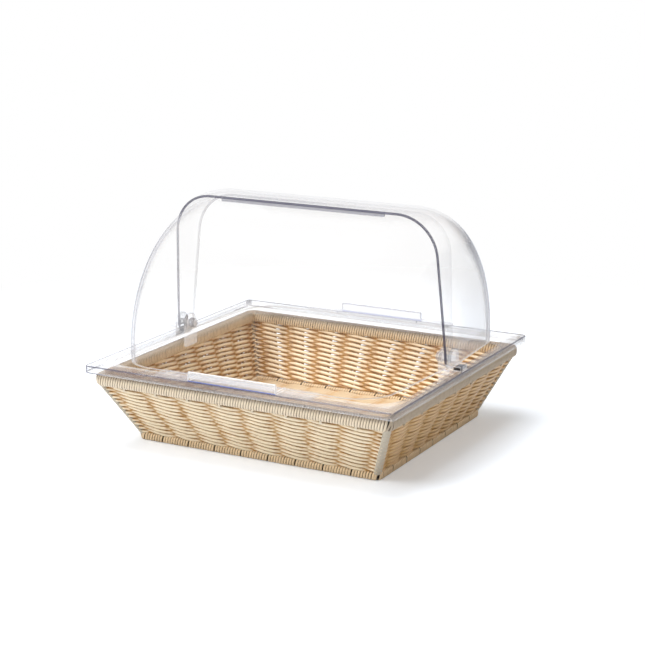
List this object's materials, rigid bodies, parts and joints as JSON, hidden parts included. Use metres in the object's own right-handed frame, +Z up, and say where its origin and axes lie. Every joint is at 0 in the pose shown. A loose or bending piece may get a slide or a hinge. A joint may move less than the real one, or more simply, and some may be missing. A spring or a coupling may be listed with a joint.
{
  "type": "countertop bread display bin",
  "caption": "Woven rattan basket with a clear lift-off frame and two clear roll-top cover halves that turn about one hinge line and nest over each other.",
  "frame": {"origin": "middle of the footprint at the height of the table", "axes": "+X along the hinge axis to the right, +Y to the back, +Z up; the front cover faces -Y"},
  "size_m": [0.354, 0.325, 0.2471],
  "materials": {
    "frame_steel": "dark lacquered steel bar",
    "rim_cane": "woven synthetic cane, satin",
    "base_cane": "woven synthetic cane, satin",
    "post_cane": "woven synthetic cane, satin",
    "stake_cane": "synthetic cane, satin",
    "woven_cane": "woven synthetic cane, satin",
    "floor_cane": "woven synthetic cane, satin",
    "clear_frame": "clear moulded plastic",
    "clear_bracket": "clear moulded plastic",
    "clear_pin": "clear moulded plastic",
    "clear_cover": "clear moulded plastic",
    "clear_grip": "clear moulded plastic",
    "clear_strip": "clear moulded plastic"
  },
  "bodies": {
    "basket": {"rim_steel_frame": "frame_steel", "base_steel_frame": "frame_steel", "rim_wrap_front": "rim_cane", "rim_wrap_back": "rim_cane", "rim_wrap_left": "rim_cane", "rim_wrap_right": "rim_cane", "base_wrap_front": "base_cane", "base_wrap_back": "base_cane", "base_wrap_left": "base_cane", "base_wrap_right": "base_cane", "corner_post_front_left": "post_cane", "corner_post_front_right": "post_cane", "corner_post_back_left": "post_cane", "corner_post_back_right": "post_cane", "stakes_front": "stake_cane", "stakes_back": "stake_cane", "stakes_left": "stake_cane", "stakes_right": "stake_cane", "weave_front": "woven_cane", "weave_back": "woven_cane", "weave_left": "woven_cane", "weave_right": "woven_cane", "floor_stakes": "stake_cane", "floor_weave": "floor_cane"},
    "frame": {"cover_frame": "clear_frame", "hinge_bracket_left": "clear_bracket", "hinge_bracket_right": "clear_bracket", "hinge_pin_left": "clear_pin", "hinge_pin_right": "clear_pin"},
    "front_cover": {"front_cover_shell": "clear_cover", "front_grip": "clear_grip"},
    "rear_cover": {"rear_cover_shell": "clear_cover", "rear_grip": "clear_grip", "stop_strip": "clear_strip"}
  },
  "joints": [
    {"name": "frame_lift", "type": "slide", "parent": "basket", "child": "frame", "axis": [0, 0, 1], "range_m": [0, 0.08]},
    {"name": "front_cover_hinge", "type": "hinge", "parent": "frame", "child": "front_cover", "pos_m": [0, 0, 0.0976], "axis": [-1, 0, 0], "range_deg": [0, 42]},
    {"name": "rear_cover_hinge", "type": "hinge", "parent": "frame", "child": "rear_cover", "pos_m": [0, 0, 0.0976], "axis": [1, 0, 0], "range_deg": [0, 42]}
  ]
}
